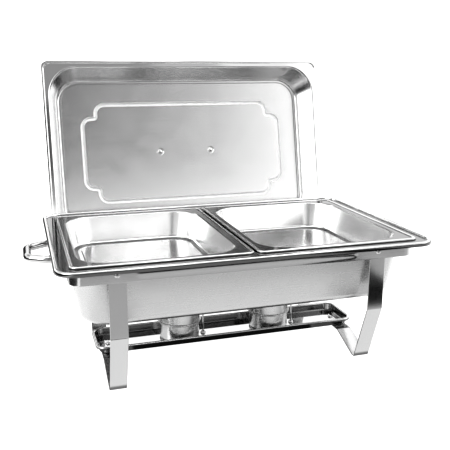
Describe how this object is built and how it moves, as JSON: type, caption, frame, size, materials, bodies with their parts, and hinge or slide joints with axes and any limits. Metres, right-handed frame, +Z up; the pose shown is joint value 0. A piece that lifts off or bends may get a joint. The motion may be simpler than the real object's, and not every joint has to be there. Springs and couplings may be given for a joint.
{
  "type": "chafing dish food warmer",
  "caption": "Folding steel chafing dish: water pan on a strip-leg frame with two lift-out food pans, a lid standing in rear hooks, and a tray of fuel burners.",
  "frame": {"origin": "on the table under the middle of the whole object with its lid standing", "axes": "+X along the long side, +Y to the back where the lid stands, +Z up"},
  "size_m": [0.648, 0.4909, 0.4796],
  "materials": {
    "frame_steel": "satin stainless steel strip",
    "pan_steel": "bright satin stainless steel sheet",
    "polished_steel": "mirror polished stainless steel"
  },
  "bodies": {
    "stand": {"frame_band": "frame_steel", "lid_hook_left": "frame_steel", "lid_hook_right": "frame_steel", "end_handle_left": "polished_steel", "end_handle_plate_left": "polished_steel", "end_handle_plate_right": "polished_steel", "end_handle_right": "polished_steel", "end_handle_rivet_left_front": "polished_steel", "end_handle_rivet_left_rear": "polished_steel", "end_handle_rivet_right_front": "polished_steel", "end_handle_rivet_right_rear": "polished_steel", "leg_rivet_left_front": "polished_steel", "leg_rivet_left_rear": "polished_steel", "leg_rivet_right_front": "polished_steel", "leg_rivet_right_rear": "polished_steel", "lid_hook_rivet_left_inner": "polished_steel", "lid_hook_rivet_left_outer": "polished_steel", "lid_hook_rivet_right_inner": "polished_steel", "lid_hook_rivet_right_outer": "polished_steel"},
    "leg_left": {"leg_left": "frame_steel"},
    "leg_right": {"leg_right": "frame_steel"},
    "water_pan": {"water_pan": "pan_steel"},
    "food_pan_left": {"food_pan_left": "pan_steel"},
    "food_pan_right": {"food_pan_right": "pan_steel"},
    "lid": {"lid": "pan_steel", "lid_handle": "polished_steel", "lid_handle_washer_left": "polished_steel", "lid_handle_washer_right": "polished_steel", "lid_handle_screw_left": "polished_steel", "lid_handle_screw_right": "polished_steel"},
    "fuel_tray": {"fuel_tray": "polished_steel", "tray_peg_left": "polished_steel", "tray_peg_right": "polished_steel"},
    "burner_left": {"burner_cup_left": "polished_steel"},
    "burner_cover_left": {"burner_cover_left": "polished_steel", "damper_rivet_left": "polished_steel"},
    "damper_left": {"damper_disc_left": "polished_steel", "damper_wire_left": "polished_steel", "damper_knob_left": "polished_steel"},
    "burner_right": {"burner_cup_right": "polished_steel"},
    "burner_cover_right": {"burner_cover_right": "polished_steel", "damper_rivet_right": "polished_steel"},
    "damper_right": {"damper_disc_right": "polished_steel", "damper_wire_right": "polished_steel", "damper_knob_right": "polished_steel"}
  },
  "joints": [
    {"name": "water_pan_lift", "type": "slide", "parent": "stand", "child": "water_pan", "axis": [0, 0, 1], "range_m": [0, 0.2]},
    {"name": "leg_left_fold", "type": "hinge", "parent": "stand", "child": "leg_left", "pos_m": [-0.202, -0.05799, 0.1906], "axis": [0, -1, 0], "range_deg": [0, 90]},
    {"name": "leg_right_fold", "type": "hinge", "parent": "stand", "child": "leg_right", "pos_m": [0.202, -0.05799, 0.1906], "axis": [0, 1, 0], "range_deg": [0, 90]},
    {"name": "fuel_tray_lift", "type": "slide", "parent": "stand", "child": "fuel_tray", "axis": [0, 0, 1], "range_m": [0, 0.19]},
    {"name": "lid_lift", "type": "slide", "parent": "stand", "child": "lid", "axis": [0, 0.2096, 0.9778], "range_m": [0, 0.12]},
    {"name": "food_pan_left_lift", "type": "slide", "parent": "water_pan", "child": "food_pan_left", "axis": [0, 0, 1], "range_m": [0, 0.075]},
    {"name": "food_pan_right_lift", "type": "slide", "parent": "water_pan", "child": "food_pan_right", "axis": [0, 0, 1], "range_m": [0, 0.075]},
    {"name": "burner_left_lift", "type": "slide", "parent": "fuel_tray", "child": "burner_left", "axis": [0, 0, 1], "range_m": [0, 0.013]},
    {"name": "burner_cover_left_lift", "type": "slide", "parent": "burner_left", "child": "burner_cover_left", "axis": [0, 0, 1], "range_m": [0, 0.009]},
    {"name": "damper_left_swivel", "type": "hinge", "parent": "burner_cover_left", "child": "damper_left", "pos_m": [-0.1055, -0.05799, 0.0809], "axis": [0, 0, 1], "range_deg": [0, 40]},
    {"name": "burner_right_lift", "type": "slide", "parent": "fuel_tray", "child": "burner_right", "axis": [0, 0, 1], "range_m": [0, 0.013]},
    {"name": "burner_cover_right_lift", "type": "slide", "parent": "burner_right", "child": "burner_cover_right", "axis": [0, 0, 1], "range_m": [0, 0.009]},
    {"name": "damper_right_swivel", "type": "hinge", "parent": "burner_cover_right", "child": "damper_right", "pos_m": [0.0545, -0.05799, 0.0809], "axis": [0, 0, 1], "range_deg": [0, 40]}
  ],
  "couplings": [
    {"joint": "leg_left_fold", "follows": "water_pan_lift", "rad_per_m": 7.85},
    {"joint": "leg_right_fold", "follows": "water_pan_lift", "rad_per_m": 7.85},
    {"joint": "fuel_tray_lift", "follows": "water_pan_lift", "ratio": 0.94}
  ]
}
